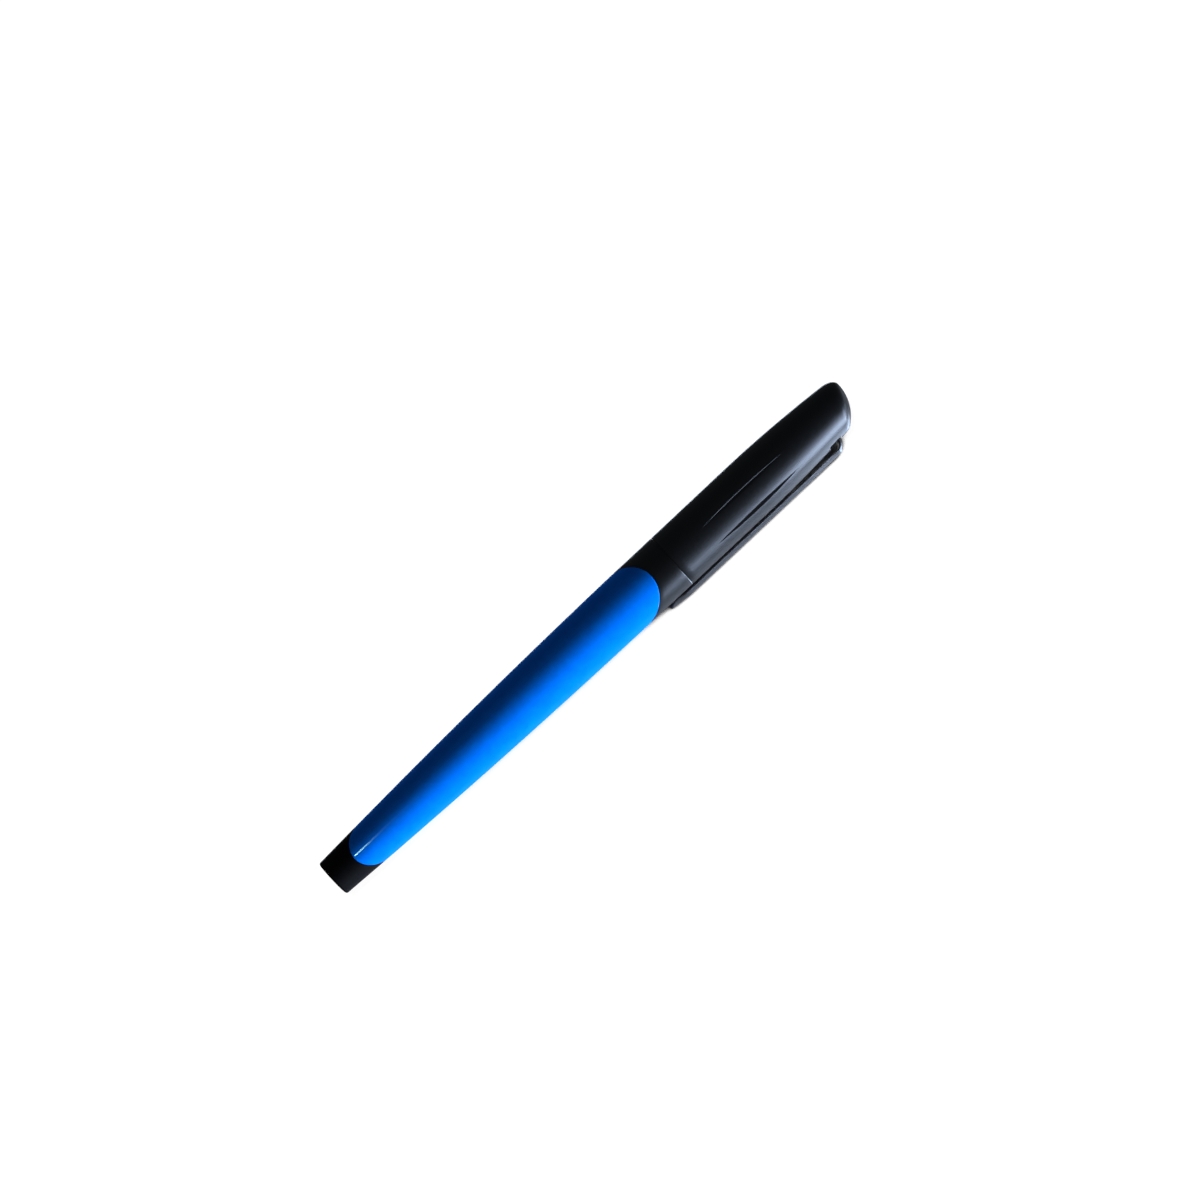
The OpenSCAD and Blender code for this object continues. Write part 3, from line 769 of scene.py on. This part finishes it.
def softbox(name, where, target, size_x, size_y, power, colour):
    """Rectangular light that faces a target."""
    data = bpy.data.lights.new(name, "AREA")
    data.shape = "RECTANGLE"
    data.size, data.size_y = size_x, size_y
    data.energy = power
    data.color = colour
    lamp = bpy.data.objects.new(name, data)
    back = (where - target).normalized()
    along = (Vector((1, 0, 0)) - back * back.x).normalized()
    lamp.matrix_world = Matrix((
        (along.x, back.cross(along).x, back.x, where.x),
        (along.y, back.cross(along).y, back.y, where.y),
        (along.z, back.cross(along).z, back.z, where.z),
        (0, 0, 0, 1),
    ))
    bpy.context.scene.collection.objects.link(lamp)
    return lamp


def round_axis(degrees):
    """Direction across the pen, at an angle from the side towards the clip."""
    a = math.radians(degrees)
    return SIDE * math.cos(a) + CLIP * math.sin(a)


KEY_COLOUR = (0.60, 0.74, 1.0)
KEY_LONG = 0.486
LAMP_AWAY = 0.9


def key_light(name, degrees, size_y, strength, at=0.437):
    """Cool light beyond the cap's end, at an angle from the side towards the clip, of a given brightness."""
    out = round_axis(degrees)
    where = Vector((at, 0, 0)) + out * LAMP_AWAY
    power = strength * math.pi * KEY_LONG * size_y
    return softbox(name, where, where - out, KEY_LONG, size_y, power, KEY_COLOUR)


def group(name, pieces):
    """Collection of the pieces that a light reaches, or that shade it."""
    held = bpy.data.collections.new(name)
    for piece in pieces:
        held.objects.link(bpy.data.objects[piece])
    return held


SOLID = ["sleeve", "barrel_with_collar", "tail_cup", "cap_body", "crown_disc"]

key_light("key", 77, 0.42, 27)
# The clip is thin and close, and is left out of what shades the low light
key_low = key_light("key_low", 128, 0.85, 9, 0.475)
key_low.light_linking.blocker_collection = group("low_blockers", SOLID)
key_end = key_light("key_end", 56, 0.36, 12, 0.55)
key_end.light_linking.receiver_collection = group("end_receivers", ["cap_body", "crown_disc", "clip_blade"])

# A weak light low down behind the pen, which the camera's side doesn't see
behind = round_axis(-172)
back_light = softbox("back_light", centre + behind * LAMP_AWAY, centre, 0.5, 0.4, 3.8, (0.8, 0.88, 1.0))
back_light.light_linking.receiver_collection = group("back_receivers", SOLID)

# A soft light beyond the cap, which its rounded end and the clip's heel mirror
end_out = (round_axis(92) * 0.62 + Vector((0.78, 0, 0))).normalized()
end_at = Vector((PEN_LENGTH * MM, 0, 0))
softbox("end_light", end_at + end_out * LAMP_AWAY, end_at, 0.3, 0.3, 2.3, KEY_COLOUR)

# A narrow lamp close to the camera, which only the tail end of the lacquered sleeve mirrors
SPARK_AT, SPARK_TURN = 6.6, -4.6
spark_from = place(SPARK_AT, outline(SPARK_AT), math.radians(SPARK_TURN - 90))
tilt = 2 * (THICK_FROM - SPARK_AT) / TAIL_TAPER
slope = Vector((-math.sin(tilt), 0, 0)) + round_axis(SPARK_TURN) * math.cos(tilt)
to_eye = (eye - spark_from).normalized()
spark_out = slope * (2 * slope.dot(to_eye)) - to_eye
spark = softbox("spark", spark_from + spark_out * 1.25, spark_from, 0.008, 0.16, 1.6, (0.45, 1.0, 0.9))
spark.visible_diffuse = False
spark.light_linking.receiver_collection = group("spark_receivers", ["sleeve"])

# A soft light from above falls on the floor alone
top = softbox("top", centre + Vector((0, -0.342, 0.94)) * 1.3, centre, 0.5, 0.5, 28, (1, 1, 1))
top.light_linking.receiver_collection = group("floor_only", ["floor"])

world = bpy.data.worlds.new("studio")
bpy.context.scene.world = world
world.use_nodes = True
sky = world.node_tree
sky.nodes.clear()
sky_out = sky.nodes.new("ShaderNodeOutputWorld")
dim = sky.nodes.new("ShaderNodeBackground")
dim.inputs["Color"].default_value = (0.78, 0.87, 1.0, 1)
facing = sky.nodes.new("ShaderNodeTexCoord")


def towards(direction, start, end, low, high):
    """Value that grows from low to high as a direction turns towards another."""
    dot = sky.nodes.new("ShaderNodeVectorMath")
    dot.operation = "DOT_PRODUCT"
    dot.inputs[1].default_value = direction.normalized()
    sky.links.new(facing.outputs["Generated"], dot.inputs[0])
    return spread(sky, dot.outputs["Value"], low, high, start, end)


# Dim all round, and brighter low down on the clip's side and beyond the cap, as a lit table would be
lit = sky.nodes.new("ShaderNodeMath")
lit.operation = "MULTIPLY_ADD"
sky.links.new(towards(CLIP * 0.8 + Vector((0.6, 0, 0)), 0.05, 0.45, 0.0, 0.45), lit.inputs[0])
sky.links.new(towards(-SIDE, 0.1, 0.5, 0.0, 1.0), lit.inputs[1])
lit.inputs[2].default_value = 0.075
sky.links.new(lit.outputs["Value"], dim.inputs["Strength"])
pale = sky.nodes.new("ShaderNodeBackground")
pale.inputs["Color"].default_value = (0.95, 0.95, 0.95, 1)
mix = sky.nodes.new("ShaderNodeMixShader")
path = sky.nodes.new("ShaderNodeLightPath")
sky.links.new(path.outputs["Is Camera Ray"], mix.inputs["Fac"])
sky.links.new(dim.outputs["Background"], mix.inputs[1])
sky.links.new(pale.outputs["Background"], mix.inputs[2])
sky.links.new(mix.outputs["Shader"], sky_out.inputs["Surface"])
